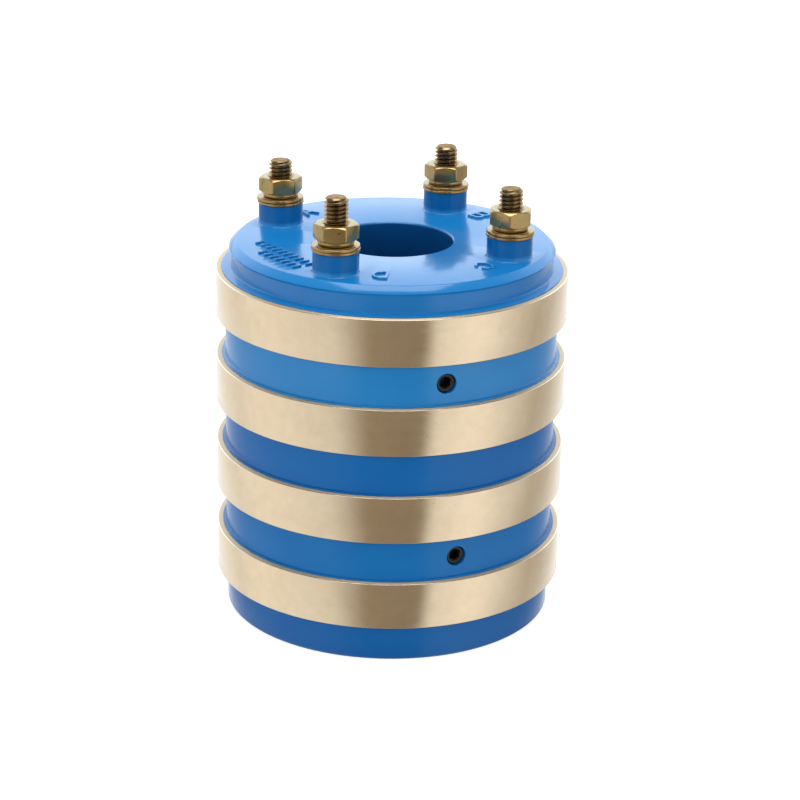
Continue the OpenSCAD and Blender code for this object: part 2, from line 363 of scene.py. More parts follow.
class EffectGroups:
    """Shader node groups that several finishes use, each built once."""

    peak: float = 0.8
    speck_edge: float = 0.06

    def __init__(self) -> None:
        """Builds the groups."""
        self.cloud = self._cloud()
        self.specks = self._specks()
        self.tooling = self._tooling()

    @staticmethod
    def _begin(name: str, inputs: dict[str, float], *outputs: str) -> tuple[Wiring, Any, Any]:
        """Makes an empty group that takes a place and some numbers.

        Args:
            name: Name of the group.
            inputs: Starting value of each number that it takes.
            outputs: Names of the numbers that it gives.

        Returns:
            The group's wiring, its input node's outputs and its output node's inputs.
        """
        tree = bpy.data.node_groups.new(name, "ShaderNodeTree")
        sockets = tree.interface
        sockets.new_socket("Place", in_out="INPUT", socket_type="NodeSocketVector")
        for key, value in inputs.items():
            socket = sockets.new_socket(key, in_out="INPUT", socket_type="NodeSocketFloat")
            socket.default_value = value
        for key in outputs:
            sockets.new_socket(key, in_out="OUTPUT", socket_type="NodeSocketFloat")
        wiring = Wiring(tree)
        given, out = wiring.put("NodeGroupInput"), wiring.put("NodeGroupOutput")
        return wiring, given.outputs, out.inputs

    @staticmethod
    def _noise(wiring: Wiring, given: Any, detail: float) -> Any:
        """Noise at the group's place, with its size in millimetres."""
        scale = wiring.calc("DIVIDE", 1 / MM, given["Size"])
        sockets = {"Vector": given["Place"], "Scale": scale, "Detail": detail}
        return wiring.put("ShaderNodeTexNoise", sockets).outputs[0]

    def _cloud(self) -> bpy.types.NodeTree:
        """Soft uneven patches, from 0 to 1, with a size in millimetres."""
        wiring, given, out = self._begin("soft_patches", {"Size": 10.0, "Spread": 0.2}, "Value")
        noise = self._noise(wiring, given, 4.0)
        low = wiring.calc("SUBTRACT", 0.5, given["Spread"])
        high = wiring.plus(0.5, given["Spread"])
        wiring.join(out["Value"], wiring.span(noise, low, high))
        return wiring.tree

    def _specks(self) -> bpy.types.NodeTree:
        """Small separate spots, with a size in millimetres and a share of the surface."""
        wiring, given, out = self._begin("small_specks", {"Size": 0.5, "Amount": 0.1}, "Mask")
        noise = self._noise(wiring, given, 1.0)
        low = wiring.calc("SUBTRACT", self.peak, given["Amount"])
        high = wiring.plus(low, self.speck_edge)
        wiring.join(out["Mask"], wiring.span(noise, low, high))
        return wiring.tree

    def _tooling(self) -> bpy.types.NodeTree:
        """Turned lines round the Z axis, on faces along it and across it."""
        wiring, given, out = self._begin(
            "turned_lines", {"Spacing": 0.3, "Length": 30.0}, "Height", "Tone"
        )
        x, y, z = wiring.put("ShaderNodeSeparateXYZ", {0: given["Place"]}).outputs
        squares = wiring.plus(wiring.calc("POWER", x, 2.0), wiring.calc("POWER", y, 2.0))
        along = wiring.plus(wiring.calc("SQRT", squares), z)
        fine = wiring.calc("DIVIDE", 1 / MM, given["Spacing"])
        slow = wiring.calc("DIVIDE", 1 / MM, given["Length"])
        stretched = wiring.put(
            "ShaderNodeCombineXYZ",
            {0: wiring.times(x, slow), 1: wiring.times(y, slow), 2: wiring.times(along, fine)},
        ).outputs[0]
        for output, scale, detail in (("Height", 1.0, 3.0), ("Tone", 0.3, 2.0)):
            sockets = {"Vector": stretched, "Scale": scale, "Detail": detail}
            noise = wiring.put("ShaderNodeTexNoise", sockets).outputs[0]
            wiring.join(out[output], noise)
        return wiring.tree


class Finish(Wiring):
    """One material, made from shader nodes on Object coordinates."""

    def __init__(self, name: str, groups: EffectGroups) -> None:
        """Makes an empty material with a surface shader."""
        self.groups = groups
        self.material = bpy.data.materials.new(name)
        self.material.use_nodes = True
        super().__init__(self.material.node_tree)
        self.place = self.put("ShaderNodeTexCoord").outputs["Object"]
        self.surface = self.put("ShaderNodeBsdfPrincipled")
        self.put("ShaderNodeOutputMaterial", {"Surface": self.surface.outputs[0]})

    def effect(self, group: bpy.types.NodeTree, **values: float) -> Any:
        """Places a shared effect with its own values and gives its outputs."""
        sockets = {"Place": self.place}
        sockets.update((key.capitalize(), value) for key, value in values.items())
        return self.put("ShaderNodeGroup", sockets, node_tree=group).outputs

    def cloud(self, size: float, spread: float) -> Any:
        """Places soft patches of a size in millimetres and gives their value."""
        return self.effect(self.groups.cloud, size=size, spread=spread)[0]

    def feed(self, socket: str, value: Any) -> None:
        """Sets or links an input of the surface shader."""
        self.join(self.surface.inputs[socket], value)

    def radius(self) -> Any:
        """Distance from the Z axis, in millimetres."""
        sockets = {0: self.place, 1: (1 / MM, 1 / MM, 0)}
        flat = self.put("ShaderNodeVectorMath", sockets, operation="MULTIPLY").outputs[0]
        length = self.put("ShaderNodeVectorMath", {0: flat}, operation="LENGTH")
        return length.outputs["Value"]

    def height(self) -> Any:
        """Height above the foot, in millimetres."""
        along = self.put("ShaderNodeSeparateXYZ", {0: self.place}).outputs[2]
        return self.calc("DIVIDE", along, MM)

    def relief(self, height: Any, depth: float, below: Any = None) -> Any:
        """Adds a bump of some millimetres and gives its normal.

        Args:
            height: Height from 0 to 1.
            depth: Depth of the whole span, in millimetres.
            below: Normal of another bump that lies under this one.
        """
        values = {"Height": height, "Distance": depth * MM, "Strength": 1.0}
        if below is not None:
            values["Normal"] = below
        return self.put("ShaderNodeBump", values).outputs[0]


@dataclass(frozen=True)
class GlossyMoulding:
    """Blue thermoset moulding with a glossy, faintly uneven skin, and painted shade and light
    in its colour: by height, on the posts and in the bore.
    """

    colour: Colour = (0.006, 0.160, 0.445)
    worn: Colour = (0.012, 0.205, 0.515)
    # Painted shade: the bore is coloured darker, as if unlit.
    bore: Colour = (0.003, 0.060, 0.215)
    # Painted shade: the posts are coloured darker, as if shaded by the washers above them.
    posts: Colour = (0.003, 0.112, 0.335)
    # Painted shade and light by height: colour multipliers that darken the foot and the lower
    # grooves and lighten the top groove and the top face.
    painted_shades: tuple[tuple[float, Colour], ...] = (
        (10.0, (0.5, 0.68, 0.82)),
        (21.0, (0.7, 0.88, 0.94)),
        (33.0, (0.7, 0.88, 0.94)),
        (43.0, (0.5, 0.73, 0.85)),
        (55.0, (0.5, 0.73, 0.85)),
        (66.0, (1.4, 1.20, 1.12)),
        (78.0, (1.4, 1.20, 1.12)),
        (88.0, (1.0, 1.0, 1.0)),
        (93.5, (1.0, 1.0, 1.0)),
        (95.0, (1.2, 1.14, 1.10)),
    )
    painted_shade_h: float = 100.0
    post_shade_rise: Span = (96.4, 97.2)
    bore_shade_edge: Span = (15.0, 15.3)
    shine_rise: Span = (57.0, 64.0)
    shine: Span = (0.28, 0.5)
    dulling: float = 0.33
    wear: float = 0.45
    ior: float = 1.50

    def make(self, groups: EffectGroups) -> Material:
        """Builds the material."""
        finish = Finish("glossy_blue_moulding", groups)
        patches = finish.cloud(14.0, 0.25)
        fine = finish.cloud(2.5, 0.3)
        tone = finish.mix(finish.times(patches, self.wear), self.colour, self.worn)
        height = finish.height()
        # Painted shade and light: the colour is multiplied by a ramp over height.
        stops = [(z / self.painted_shade_h, tint) for z, tint in self.painted_shades]
        shade = finish.ramp(finish.calc("DIVIDE", height, self.painted_shade_h), stops)
        tone = finish.mix(1.0, tone, shade, "MULTIPLY")
        # Painted shade on the posts, from just above their foot up.
        raised = finish.span(height, *self.post_shade_rise)
        tone = finish.mix(raised, tone, self.posts)
        # Painted shade inside the bore.
        bore_shade_mask = finish.span(finish.radius(), *self.bore_shade_edge, 1.0, 0.0)
        finish.feed("Base Color", finish.mix(bore_shade_mask, tone, self.bore))
        rough = finish.span(patches, 0.0, 1.0, 0.10, 0.15)
        finish.feed("Roughness", finish.plus(rough, finish.times(fine, 0.06)))
        finish.feed("IOR", self.ior)
        walls = finish.span(height, *self.shine_rise, *self.shine)
        dull = finish.calc("MAXIMUM", raised, bore_shade_mask)
        level = finish.calc("SUBTRACT", walls, finish.times(dull, self.dulling))
        finish.feed("Specular IOR Level", level)
        slow = finish.relief(patches, 0.07)
        finish.feed("Normal", finish.relief(fine, 0.004, slow))
        return finish.material


@dataclass(frozen=True)
class TurnedBrass:
    """Pale brass with fine turned lines round the shaft axis."""

    colour: Colour = (0.92, 0.76, 0.54)
    tarnish: Colour = (0.76, 0.60, 0.40)
    end_face: Colour = (0.78, 0.62, 0.42)
    spot: Colour = (0.30, 0.20, 0.10)
    outside: Span = (43.72, 43.88)
    anisotropy: float = 0.7

    def make(self, groups: EffectGroups) -> Material:
        """Builds the material."""
        finish = Finish("turned_pale_brass", groups)
        lines = finish.effect(groups.tooling, spacing=0.45, length=45.0)
        patches = finish.cloud(11.0, 0.22)
        smears = finish.cloud(2.6, 0.25)
        specks = finish.effect(groups.specks, size=0.55, amount=0.05)[0]
        share = finish.plus(finish.times(patches, 0.34), finish.times(smears, 0.28))
        tone = finish.mix(share, self.colour, self.tarnish)
        spotted = finish.mix(finish.times(specks, 0.5), tone, self.spot)
        end = finish.span(finish.radius(), *self.outside, 1.0, 0.0)
        finish.feed("Base Color", finish.mix(end, spotted, self.end_face))
        finish.feed("Metallic", 1.0)
        side = finish.span(lines[1], 0.3, 0.7, 0.17, 0.23)
        finish.feed("Roughness", finish.calc("MAXIMUM", side, finish.times(end, 0.6)))
        finish.feed("Anisotropic", self.anisotropy)
        finish.feed("Anisotropic Rotation", 0.25)
        finish.feed("Normal", finish.relief(lines[0], 0.0022))
        return finish.material


@dataclass(frozen=True)
class YellowZinc:
    """Yellow passivated zinc plate with its pink and green tints."""

    name: str = "yellow_passivated_zinc"
    warmth: float = 0.0
    roughness: float = 0.20
    warm: Colour = (0.37, 0.21, 0.085)
    spot: Colour = (0.16, 0.08, 0.03)
    metal: float = 0.86

    def make(self, groups: EffectGroups) -> Material:
        """Builds the material."""
        finish = Finish(self.name, groups)
        patches = finish.cloud(4.0, 0.28)
        fine = finish.cloud(0.6, 0.3)
        specks = finish.effect(groups.specks, size=0.9, amount=0.13)[0]
        tint = finish.ramp(
            patches,
            [
                (0.0, (0.21, 0.18, 0.085)),
                (0.30, (0.38, 0.285, 0.12)),
                (0.62, (0.44, 0.30, 0.115)),
                (0.85, (0.43, 0.27, 0.15)),
                (1.0, (0.26, 0.28, 0.125)),
            ],
        )
        tint = finish.mix(self.warmth, tint, self.warm)
        finish.feed("Base Color", finish.mix(finish.times(specks, 0.7), tint, self.spot))
        finish.feed("Metallic", self.metal)
        rough = finish.span(fine, 0.0, 1.0, self.roughness - 0.04, self.roughness + 0.08)
        finish.feed("Roughness", rough)
        finish.feed("Normal", finish.relief(fine, 0.001))
        return finish.material


@dataclass(frozen=True)
class BronzeThread:
    """Dark passivated thread with a duller sawn end."""

    end_dark: Colour = (0.13, 0.085, 0.045)
    end_pale: Colour = (0.44, 0.30, 0.17)
    grazing: Colour = (1.0, 0.80, 0.58)
    upright: Span = (0.93, 0.98)

    def make(self, groups: EffectGroups) -> Material:
        """Builds the material."""
        finish = Finish("bronze_passivated_thread", groups)
        patches = finish.cloud(2.5, 0.28)
        fine = finish.cloud(0.5, 0.3)
        tint = finish.ramp(
            patches,
            [
                (0.0, (0.15, 0.105, 0.055)),
                (0.5, (0.26, 0.185, 0.095)),
                (1.0, (0.38, 0.28, 0.165)),
            ],
        )
        normal = finish.put("ShaderNodeNewGeometry").outputs["Normal"]
        upward = finish.put("ShaderNodeSeparateXYZ", {0: normal}).outputs[2]
        end = finish.span(upward, *self.upright)
        sawn = finish.cloud(1.3, 0.2)
        face = finish.mix(sawn, self.end_dark, self.end_pale)
        finish.feed("Base Color", finish.mix(end, tint, face))
        finish.feed("Specular Tint", (*self.grazing, 1.0))
        finish.feed("Metallic", 1.0)
        rough = finish.span(fine, 0.0, 1.0, 0.20, 0.34)
        finish.feed("Roughness", finish.plus(rough, finish.times(end, 0.2)))
        finish.feed("Normal", finish.relief(fine, 0.003))
        return finish.material


@dataclass(frozen=True)
class BlackOxide:
    """Oiled black oxide on the set screws."""

    dark: Colour = (0.004, 0.004, 0.005)
    pale: Colour = (0.010, 0.010, 0.011)

    def make(self, groups: EffectGroups) -> Material:
        """Builds the material."""
        finish = Finish("black_oxide", groups)
        fine = finish.cloud(0.7, 0.3)
        finish.feed("Base Color", finish.mix(fine, self.dark, self.pale))
        finish.feed("Metallic", 0.0)
        finish.feed("Roughness", finish.span(fine, 0.0, 1.0, 0.28, 0.45))
        finish.feed("Normal", finish.relief(fine, 0.01))
        return finish.material


# ---- Sizes shared by the sub-assemblies ----


@dataclass(frozen=True)
class Stack:
    """Heights, radii and facets of the rotor, in millimetres."""

    ring_r: float = 44.0
    ring_h: float = 11.7
    ring_pitch: float = 22.5
    foot_h: float = 9.7
    height: float = 95.8
    groove_r: float = 41.7
    ring_bore_r: float = 38.5
    anchor_r: float = 39.9
    anchor_h: float = 3.6
    bore_r: float = 15.0
    count: int = 4
    steps: int = 288

    def ring_low(self, index: int) -> float:
        """Underside of a ring, counted from the top."""
        return self.foot_h + (self.count - 1 - index) * self.ring_pitch

    def groove_middle(self, index: int) -> float:
        """Middle of the groove under a ring."""
        return self.ring_low(index) - (self.ring_pitch - self.ring_h) / 2

    def ring_middle(self, index: int) -> float:
        """Mid height of a ring."""
        return self.ring_low(index) + self.ring_h / 2

    def radial(self, groove: int, direction: float) -> Matrix:
        """Place of what lies along Z when it points outwards from a groove."""
        raised = shift(0, 0, self.groove_middle(groove))
        return about_z(direction) @ raised @ turn_about("Y", 90)


@dataclass(frozen=True)
class Terminal:
    """One terminal's place and the way its loose pieces came to rest."""

    letter: str
    ring: int
    direction: float
    stud_out: float
    nut_turn: float
    split_turn: float
    slid: float
    letter_turn: float
    radius: float = 31.5

    def at(self, height: float = 0.0, turn: float = 0.0) -> Matrix:
        """Place on the terminal's axis, turned about it."""
        out = about_z(self.direction) @ shift(self.radius, 0, height)
        return out @ about_z(turn - self.direction)


TERMINALS = (
    Terminal("a", 0, 155.0, 4.1, 12.0, -55.0, 0.4, -20.0),
    Terminal("b", 1, 65.0, 4.6, -2.0, 15.0, 0.7, -20.0),
    Terminal("c", 2, -25.0, 5.0, 26.0, 120.0, 0.5, -20.0),
    Terminal("d", 3, -115.0, 6.3, -3.0, -135.0, 0.8, 20.0),
)


# ---- Sub-assemblies ----


@dataclass
class MouldedBody:
    """The blue moulding with its posts, letters, tally bars, bore and keyway."""

    stack: Stack
    foot_r: float = 41.4
    ledge_r: float = 42.6
    ledge_h: float = 0.4
    neck_r: float = 40.1
    rim_r: float = 40.7
    rim_lip: float = 0.6
    face_r: float = 38.9
    face_chamfer_h: float = 1.6
    neck_low: float = 90.0
    bore_chamfer: float = 0.4
    foot_chamfer: float = 0.6
    fillet: Outline = ((0.45, 0.0), (0.16, 0.10), (0.03, 0.28), (0.0, 0.55))
    edge: float = 0.16
    post_r: float = 5.6
    post_h: float = 5.5
    post_round: float = 0.45
    stud_hole_r: float = 2.95
    keyway_w: float = 8.0
    keyway_reach: float = 19.0
    screw_hole_r: float = 2.5
    screw_mouth: float = 1.12
    past: float = 2.0
    past_posts: float = 9.0
    stroke: float = 0.7
    stroke_edge: float = 0.14
    bow_edge: float = 0.12
    relief: float = 0.5
    letter_h: float = 5.4
    letter_w: float = 4.0
    upright_gap: float = 0.2
    bow_overlap: float = 6.0
    tuck: float = 0.02
    row_angle: float = -143.0
    rows: tuple[tuple[float, int], ...] = ((28.3, 10), (32.3, 7))
    mark_pitch: float = 2.4
    mark_l: float = 2.6
    mark_end: float = 7.0
    sunk: float = 1.0

    def blank(self) -> Shape:
        """Turned blank with a seat for each ring."""
        s = self.stack
        points: list[tuple[float, float]] = [
            (s.bore_r + self.bore_chamfer, 0.0),
            (self.foot_r - self.foot_chamfer, 0.0),
            (self.foot_r, self.foot_chamfer),
            (self.foot_r, s.foot_h),
        ]
        for index in range(s.count - 1, -1, -1):
            low = s.ring_low(index)
            middle, top = low + s.ring_h / 2, low + s.ring_h
            ledge = top + self.ledge_h
            above = self.neck_r if index == 0 else s.groove_r
            if index < s.count - 1:
                points.append((s.groove_r, low))
            points += [
                (s.ring_bore_r, low),
                (s.ring_bore_r, middle - s.anchor_h / 2),
                (s.anchor_r, middle - s.anchor_h / 2),
                (s.anchor_r, middle + s.anchor_h / 2),
                (s.ring_bore_r, middle + s.anchor_h / 2),
                (s.ring_bore_r, top),
                (self.ledge_r, top),
                (self.ledge_r, ledge),
                *((above + out, ledge + up) for out, up in self.fillet),
            ]
        points += [
            (self.neck_r, s.height - self.face_chamfer_h - self.rim_lip),
            (self.rim_r, s.height - self.face_chamfer_h),
            (self.face_r, s.height),
            (s.bore_r + self.bore_chamfer, s.height),
            (s.bore_r, s.height - self.bore_chamfer),
            (s.bore_r, self.bore_chamfer),
        ]
        shape = Shape.turned(points, s.steps)

        def shows(middle: Vector) -> bool:
            """Leaves the edges that the rings hide as they are."""
            hidden = s.ring_bore_r - 0.1 < math.hypot(middle.x, middle.y) < s.groove_r - 1.0
            return not hidden or middle.z > self.neck_low

        return shape.soften(self.edge, 2, 38.0, shows)

    def posts(self) -> list[Shape]:
        """The four posts, each with a small fillet at the foot and a rounded crown."""
        r, h, size = self.post_r, self.post_h, self.post_round
        arc = [
            (size * (1 - math.sin(a)), size * (1 - math.cos(a)))
            for a in map(math.radians, (0, 22, 45, 68, 90))
        ]
        fillet = [(r + near, far) for near, far in arc]
        crown = [(r - far, h - near) for near, far in arc]
        outline = [(0.0, -self.sunk), (fillet[0][0], -self.sunk), *fillet, *crown, (0.0, h)]
        return [Shape.turned(outline, 96).moved(t.at(self.stack.height)) for t in TERMINALS]

    def bar(self, start: tuple[float, float], end: tuple[float, float]) -> Shape:
        """One straight raised stroke between the middles of its ends."""
        w = self.stroke / 2
        dx, dy = end[0] - start[0], end[1] - start[1]
        run = math.hypot(dx, dy)
        shape = Shape.block((-w, -w, -self.sunk), (run + w, w, self.relief))
        shape.soften(self.stroke_edge, 2, 60.0, lambda m: m.z > -self.sunk + 0.01)
        angle = math.degrees(math.atan2(dy, dx))
        return shape.moved(shift(*start, 0) @ about_z(angle))

    def bow(
        self, centre: tuple[float, float], radius: float, start: float, sweep: float
    ) -> Shape:
        """One curved raised stroke, with its outer radius and the angles it covers."""
        low, high, c = -self.sunk, self.relief, self.bow_edge
        outer = radius - self.tuck
        inner = outer - self.stroke
        outline = [
            (inner, low), (outer, low), (outer, high - c), (outer - c, high),
            (inner + c, high), (inner, high - c),
        ]
        shape = Shape.turned(outline, 20, sweep)
        return shape.moved(shift(*centre, 0) @ about_z(start))

    def strokes(self, letter: str) -> list[Shape]:
        """The strokes of one terminal letter, from the lower left of its box."""
        w, h, e = self.letter_w, self.letter_h, self.stroke / 2
        if letter == "a":
            apex = (w / 2, h - e)
            return [
                self.bar((e, e), apex),
                self.bar((w - e, e), apex),
                self.bar((w / 4 + e, h / 3 + e), (w * 3 / 4 - e, h / 3 + e)),
            ]
        if letter == "c":
            r, sweep = w / 2, 180 - self.bow_overlap
            return [
                self.bar((e, r), (e, h - r)),
                self.bow((r, r), r, 180, sweep),
                self.bow((r, h - r), r, self.bow_overlap, sweep),
            ]
        lobes = 1 if letter == "d" else 2
        tall = (h + (lobes - 1) * self.stroke) / lobes
        x, gap = w - tall / 2, self.upright_gap
        made = [self.bar((e, gap + e), (e, h - gap - e))]
        for y in (e, h - e) if lobes == 1 else (e, h / 2, h - e):
            made.append(self.bar((e + self.tuck, y), (x, y)))
        for number in range(lobes):
            middle = tall / 2 + number * (tall - self.stroke)
            made.append(self.bow((x, middle), tall / 2, -90, 180))
        return made

    def letters(self) -> list[Shape]:
        """The letter beside each terminal, its top towards the rim."""
        made = []
        for t in TERMINALS:
            place = (
                about_z(t.direction + t.letter_turn)
                @ shift(t.radius, 0, self.stack.height)
                @ about_z(-90)
                @ shift(-self.letter_w / 2, -self.letter_h / 2, 0)
            )
            first, *rest = self.strokes(t.letter)
            made.append(first.combined(rest, Combine.UNITE).moved(place))
        return made

    def tally(self) -> list[Shape]:
        """Two rows of plain raised bars."""
        made = []
        e = self.stroke / 2
        place = about_z(self.row_angle) @ shift(0, 0, self.stack.height)
        for row, count in self.rows:
            for k in range(count):
                y = self.mark_end - k * self.mark_pitch - e
                bar = self.bar((row + e, y), (row + self.mark_l - e, y))
                made.append(bar.moved(place))
        return made

    def openings(self) -> list[Shape]:
        """What is cut out: the keyway, the screw holes and the stud holes."""
        s, half = self.stack, self.keyway_w / 2
        ends = (-self.keyway_reach, -half, -self.past), (0, half, s.height + self.past)
        cuts = [Shape.block(*ends)]
        r, out, wide = self.screw_hole_r, s.groove_r + 1.0, self.screw_mouth
        outline = [(0.0, 0.0), (r, 0.0), (r, out - wide), (r + wide, out), (0.0, out)]
        for _, groove, angle in SCREWS:
            cuts.append(Shape.turned(outline, 64).moved(s.radial(groove, angle)))
        r, high = self.stud_hole_r, s.height + self.past_posts
        for t in TERMINALS:
            low = s.ring_middle(t.ring)
            hole = Shape.turned([(0.0, low), (r, low), (r, high), (0.0, high)], 48)
            cuts.append(hole.moved(t.at()))
        return cuts

    def build(self, finish: Material) -> None:
        """Makes the moulding as one piece."""
        body = self.blank()
        body.combined(self.posts() + self.letters() + self.tally(), Combine.UNITE)
        body.combined(self.openings(), Combine.CUT)
        body.publish("moulded_body", finish, "moulding", ["insulating_body"])


@dataclass
class CollectorRings:
    """The four brass rings."""

    stack: Stack
    edge: float = 0.14

    def build(self, finish: Material) -> None:
        """Makes the rings."""
        s = self.stack
        mid, half = s.ring_h / 2, s.anchor_h / 2
        outline = [
            (s.ring_bore_r, 0.0), (s.ring_r, 0.0), (s.ring_r, s.ring_h),
            (s.ring_bore_r, s.ring_h), (s.ring_bore_r, mid + half), (s.anchor_r, mid + half),
            (s.anchor_r, mid - half), (s.ring_bore_r, mid - half),
        ]
        for index in range(s.count):
            ring = Shape.turned(outline, s.steps)
            ring.soften(self.edge, 3, 30.0, lambda m: m.xy.length > s.ring_r - 0.5)
            ring.moved(shift(0, 0, s.ring_low(index)))
            name = f"collector_ring_{index + 1}"
            ring.publish(f"turned_ring_{index + 1}", finish, "ring_brass", [name])


@dataclass
class TerminalHardware:
    """Stud, washers and nut of one terminal."""

    stack: Stack
    terminal: Terminal
    stud_r: float = 2.9
    root_r: float = 2.25
    shank_r: float = 2.65
    pitch: float = 1.0
    tooth: Outline = (
        (0.0, 0.0), (0.06, 0.0), (0.26, 0.55), (0.40, 1.0), (0.56, 1.0), (0.72, 0.55),
        (0.92, 0.0),
    )
    thread_low: float = 98.0
    run_out: float = 0.4
    stud_low: float = 3.5
    end_chamfer: float = 0.62
    end_soft: float = 0.1
    washer_r: float = 5.9
    washer_t: float = 0.8
    washer_hole_r: float = 3.2
    washer_gap: float = 0.06
    washer_z: float = 101.3
    clearance: float = 0.3
    spring_r: float = 4.4
    spring_t: float = 1.1
    split: float = 0.6
    spring_edge: float = 0.30
    spring_bend: float = 0.09
    slant: float = 25.0
    nut_af: float = 9.8
    nut_h: float = 4.0
    nut_bore: float = 2.7
    nut_mouth: float = 3.4
    nut_sink: float = 0.7
    nut_past: float = 0.4
    nut_edge: float = 0.32
    nut_face: float = 0.15
    nut_rise: float = 0.6
    nut_soft: float = 0.09
    tilt: float = 0.25
    steps: int = 48

    @property
    def spring_z(self) -> float:
        """Underside of the spring washer."""
        return self.washer_z + 2 * self.washer_t

    @property
    def nut_z(self) -> float:
        """Underside of the nut."""
        return self.spring_z + self.spring_t

    @property
    def top(self) -> float:
        """End of the stud."""
        return self.nut_z + self.nut_h + self.terminal.stud_out

    def stud(self) -> Shape:
        """Stud with a helical thread above its plain shank."""
        low = self.thread_low
        turns = math.ceil(self.top - low) + 2
        deep = self.stud_r - self.root_r
        shape = Shape()
        bm = shape.bm
        verts = [
            bm.verts.new((self.root_r + out * deep, 0.0, low + (turn - 1 + up) * self.pitch))
            for turn in range(turns)
            for up, out in self.tooth
        ]
        verts.append(bm.verts.new((self.root_r, 0.0, low + (turns - 1) * self.pitch)))
        edges = [bm.edges.new(pair) for pair in zip(verts, verts[1:])]
        bmesh.ops.spin(
            bm,
            geom=verts + edges,
            cent=(0, 0, 0),
            axis=(0, 0, 1),
            dvec=(0, 0, self.pitch / self.steps),
            angle=math.tau,
            steps=self.steps,
            use_merge=False,
        )
        bmesh.ops.remove_doubles(bm, verts=bm.verts[:], dist=MERGE * 10)
        for height, way in ((low, -1), (self.top, 1)):
            bmesh.ops.bisect_plane(
                bm,
                geom=bm.verts[:] + bm.edges[:] + bm.faces[:],
                dist=MERGE,
                plane_co=(0, 0, height),
                plane_no=(0, 0, way),
                clear_outer=True,
            )
        rim = [e for e in bm.edges if e.is_boundary and e.verts[0].co.z < low + 0.01]
        bottom = self.stack.ring_middle(self.terminal.ring) - self.stud_low
        for height in (low - self.run_out, bottom):
            grown = bmesh.ops.extrude_edge_only(bm, edges=rim)["geom"]
            rim = [g for g in grown if isinstance(g, bmesh.types.BMEdge)]
            for vert in {v for e in rim for v in e.verts}:
                vert.co = (*vert.co.xy.normalized() * self.shank_r, height)
        bmesh.ops.holes_fill(bm, edges=[e for e in bm.edges if e.is_boundary], sides=0)

        def chamfered(co: Vector) -> Vector:
            """Takes the thread down to its root over the last of its length."""
            radius = math.hypot(co.x, co.y)
            room = self.stud_r - self.end_chamfer + (self.top - co.z)
            if radius <= room or radius == 0:
                return co
            return Vector((co.x * room / radius, co.y * room / radius, co.z))

        shape.bent(chamfered)
        shape.facing_out()
        shape.soften(self.end_soft, 2, 50.0, lambda m: m.z > self.top - 0.01)
        return shape.moved(self.terminal.at(0, self.terminal.nut_turn))

    def washer(self, height: float, slid: float, tilt: float) -> Shape:
        """Flat washer with one edge rolled by the punch."""
        t = self.washer_t - self.washer_gap
        hole, edge = self.washer_hole_r, self.washer_r
        outline = [
            (hole, 0.10), (hole + 0.10, 0.0), (edge - 0.10, 0.0), (edge, 0.12),
            (edge, t - 0.28), (edge - 0.06, t - 0.12), (edge - 0.20, t - 0.02),
            (edge - 0.36, t), (hole + 0.16, t), (hole, t - 0.16),
        ]
        shape = Shape.turned(outline, 96)
        shape.moved(turn_about("Y", tilt))
        out = self.terminal.radius + slid * self.clearance
        return shape.moved(about_z(self.terminal.direction) @ shift(out, 0, height))

    def spring_washer(self) -> Shape:
        """Split spring washer, pressed flat, with slanted ends."""
        inner, outer, t, c = self.washer_hole_r, self.spring_r, self.spring_t, 0.12
        d, b = self.spring_edge, self.spring_bend
        outline = [
            (inner, c), (inner + c, 0.0), (outer - d, 0.0), (outer - b, b), (outer, d),
            (outer, t - d), (outer - b, t - b), (outer - d, t), (inner + c, t), (inner, t - c),
        ]
        middle = (inner + outer) / 2
        gap = math.degrees(self.split / middle)
        shape = Shape.turned(outline, 90, 360 - gap)
        lean = math.degrees(math.tan(math.radians(self.slant)) / middle)
        shape.bent(lambda co: about_z((t / 2 - co.z) * lean + gap / 2) @ co)
        turn = self.terminal.direction + self.terminal.split_turn
        return shape.moved(self.terminal.at(self.spring_z, turn))

    def nut(self) -> Shape:
        """Hexagon nut with chamfered corners and a countersunk thread."""
        corner = hexagon_corner(self.nut_af)
        h, bore, mouth, sink = self.nut_h, self.nut_bore, self.nut_mouth, self.nut_sink
        shape = Shape.prism(6, corner, 0.0, h)
        shape.soften(self.nut_edge, 3, 40.0, lambda m: 0.1 < m.z < h - 0.1)
        flat = self.nut_af / 2 - self.nut_face
        past = corner + self.nut_past
        rise = self.nut_rise * (past - flat) / (corner - flat)
        outline = [
            (bore, sink), (mouth, 0.0), (flat, 0.0), (past, rise), (past, h - rise), (flat, h),
            (mouth, h), (bore, h - sink),
        ]
        shape.combined([Shape.turned(outline, 120)], Combine.SHARE)
        shape.soften(self.nut_soft, 2, 24.0, lambda m: m.xy.length > self.nut_mouth + 0.6)
        return shape.moved(self.terminal.at(self.nut_z, self.terminal.nut_turn))

    def build(self, plate: Material, stamped: Material, thread: Material) -> None:
        """Makes the terminal's loose pieces.

        Args:
            plate: Finish of the nut and the spring washer.
            stamped: Finish of the flat washers.
            thread: Finish of the stud.
        """
        a = self.terminal.letter
        self.stud().publish(f"threaded_stud_{a}", thread, "stud_steel", [f"terminal_stud_{a}"])
        self.washer(self.washer_z, 0.0, 0.0).publish(
            f"punched_washer_low_{a}", stamped, "zinc_plate", [f"lower_washer_{a}"]
        )
        self.washer(self.washer_z + self.washer_t, self.terminal.slid, self.tilt).publish(
            f"punched_washer_high_{a}", stamped, "zinc_plate", [f"upper_washer_{a}"]
        )
        self.spring_washer().publish(
            f"split_washer_{a}", plate, "zinc_plate", [f"spring_washer_{a}"]
        )
        self.nut().publish(f"chamfered_nut_{a}", plate, "zinc_plate", [f"hex_nut_{a}"])


